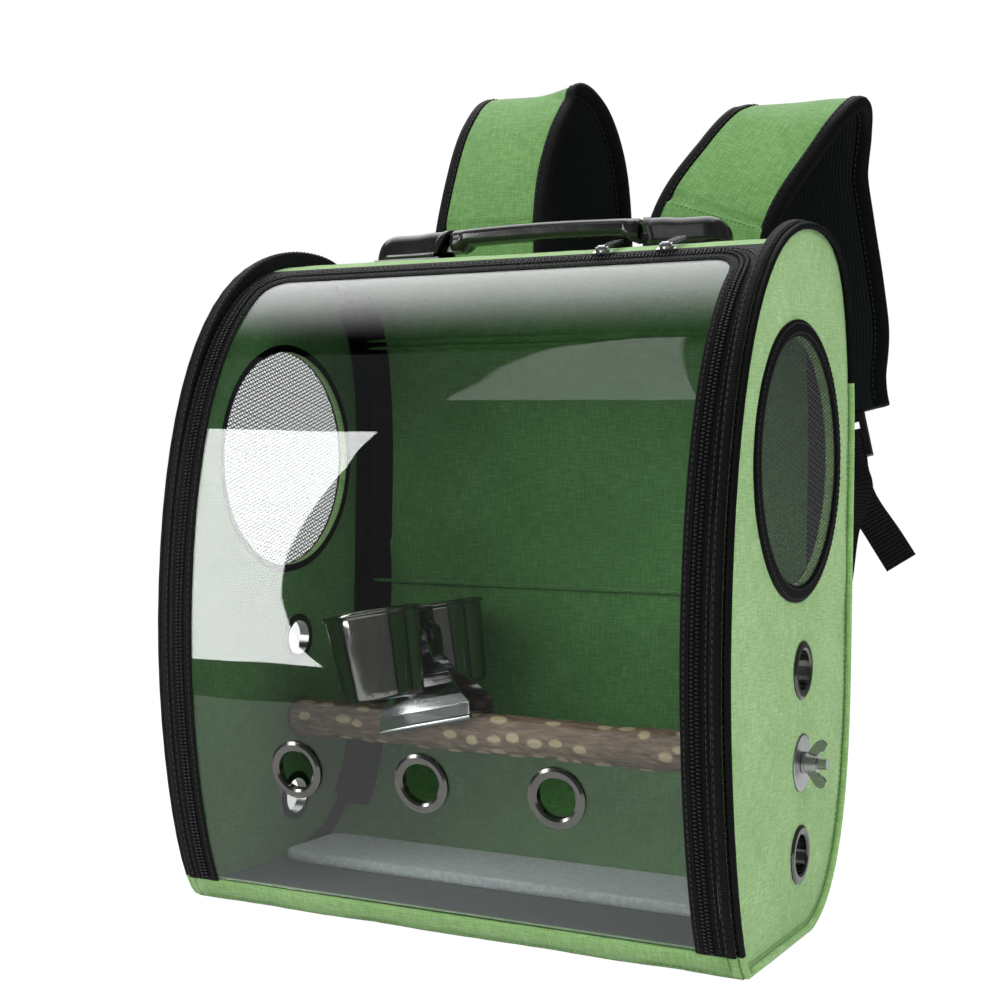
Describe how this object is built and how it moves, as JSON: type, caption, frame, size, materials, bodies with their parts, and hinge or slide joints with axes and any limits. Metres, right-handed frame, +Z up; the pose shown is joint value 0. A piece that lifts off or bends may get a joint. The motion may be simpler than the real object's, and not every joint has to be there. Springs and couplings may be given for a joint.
{
  "type": "bird travel carrier",
  "caption": "Backpack carrier for a small bird: fabric shell, zipped clear front, mesh side windows, branch perch with a clipped pair of steel cups, grip handle and shoulder straps.",
  "frame": {"origin": "middle of the flat base, on the surface it stands on", "axes": "+Z up; the clear front faces -Y and the shoulder straps are at +Y; X runs across the two side panels"},
  "size_m": [0.3758, 0.3144, 0.5204],
  "materials": {
    "leaf_fabric": "matte",
    "black_binding": "matte",
    "black_net": "matte",
    "zip_teeth": "satin",
    "bright_steel": "polished",
    "zip_pull": "satin",
    "polished_steel": "polished",
    "clear_sheet": "gloss",
    "board": "matte",
    "mat": "matte",
    "handle_plastic": "satin",
    "buckle_plastic": "satin",
    "bark": "matte"
  },
  "bodies": {
    "shell": {"bottom_panel": "leaf_fabric", "back_panel": "leaf_fabric", "top_panel": "leaf_fabric", "left_side_panel": "leaf_fabric", "right_side_panel": "leaf_fabric", "left_edge_binding": "black_binding", "right_edge_binding": "black_binding", "left_piping": "leaf_fabric", "right_piping": "leaf_fabric", "left_window_net": "black_net", "right_window_net": "black_net", "left_window_ring": "black_binding", "right_window_ring": "black_binding", "left_eyelets": "bright_steel", "right_eyelets": "bright_steel", "sill_binding": "black_binding", "zip_tape_fixed": "black_binding", "zip_teeth_fixed": "zip_teeth", "zip_sliders": "bright_steel", "left_back_binding": "black_binding", "right_back_binding": "black_binding", "floor_board": "board", "floor_mat": "mat", "handle_base": "handle_plastic", "left_handle_cap": "handle_plastic", "right_handle_cap": "handle_plastic", "handle_screws": "bright_steel", "perch_branch": "bark", "perch_studs": "bright_steel", "perch_inner_washers": "bright_steel", "perch_outer_washers": "bright_steel", "clip_front_jaw": "polished_steel", "clip_pin": "bright_steel", "clip_spring": "bright_steel", "front_cup": "polished_steel", "front_cup_rivet": "bright_steel", "strap_yoke": "leaf_fabric", "left_shoulder_strap": "leaf_fabric", "right_shoulder_strap": "leaf_fabric", "strap_buckles": "buckle_plastic", "left_lower_webbing": "black_binding", "right_lower_webbing": "black_binding", "webbing_tails": "black_binding", "webbing_anchors": "black_binding"},
    "front_panel": {"front_sheet": "clear_sheet", "zip_tape_front": "black_binding", "zip_teeth_front": "zip_teeth", "front_eyelets": "bright_steel"},
    "grip": {"handle_grip": "handle_plastic"},
    "left_nut": {"left_wing_nut": "bright_steel"},
    "right_nut": {"right_wing_nut": "bright_steel"},
    "rear_clip": {"clip_rear_jaw": "polished_steel", "rear_cup": "polished_steel", "rear_cup_rivet": "bright_steel"},
    "left_pull": {"left_zip_pull": "zip_pull"},
    "right_pull": {"right_zip_pull": "zip_pull"}
  },
  "joints": [
    {"name": "front_panel_hinge", "type": "hinge", "parent": "shell", "child": "front_panel", "pos_m": [0, -0.0814, 0.01316], "axis": [1, 0, 0], "range_deg": [0, 80]},
    {"name": "handle_lift", "type": "slide", "parent": "shell", "child": "grip", "axis": [0, 0, 1], "range_m": [0, 0.006]},
    {"name": "left_wing_nut_spin", "type": "hinge", "parent": "shell", "child": "left_nut", "pos_m": [-0.175, 0.022, 0.097], "axis": [1, 0, 0], "continuous": true},
    {"name": "right_wing_nut_spin", "type": "hinge", "parent": "shell", "child": "right_nut", "pos_m": [0.175, 0.022, 0.097], "axis": [1, 0, 0], "continuous": true},
    {"name": "clip_jaw_hinge", "type": "hinge", "parent": "shell", "child": "rear_clip", "pos_m": [-0.06675, 0.022, 0.13123], "axis": [0.9744, 0, 0.225], "range_deg": [0, 15], "stiffness_Nm_per_rad": 0.6, "springref_deg": -28.65},
    {"name": "left_zip_pull_hinge", "type": "hinge", "parent": "shell", "child": "left_pull", "pos_m": [0.066, -0.02467, 0.38034], "axis": [1, 0, 0], "range_deg": [0, 140]},
    {"name": "right_zip_pull_hinge", "type": "hinge", "parent": "shell", "child": "right_pull", "pos_m": [0.104, -0.02467, 0.38034], "axis": [1, 0, 0], "range_deg": [0, 140]}
  ]
}
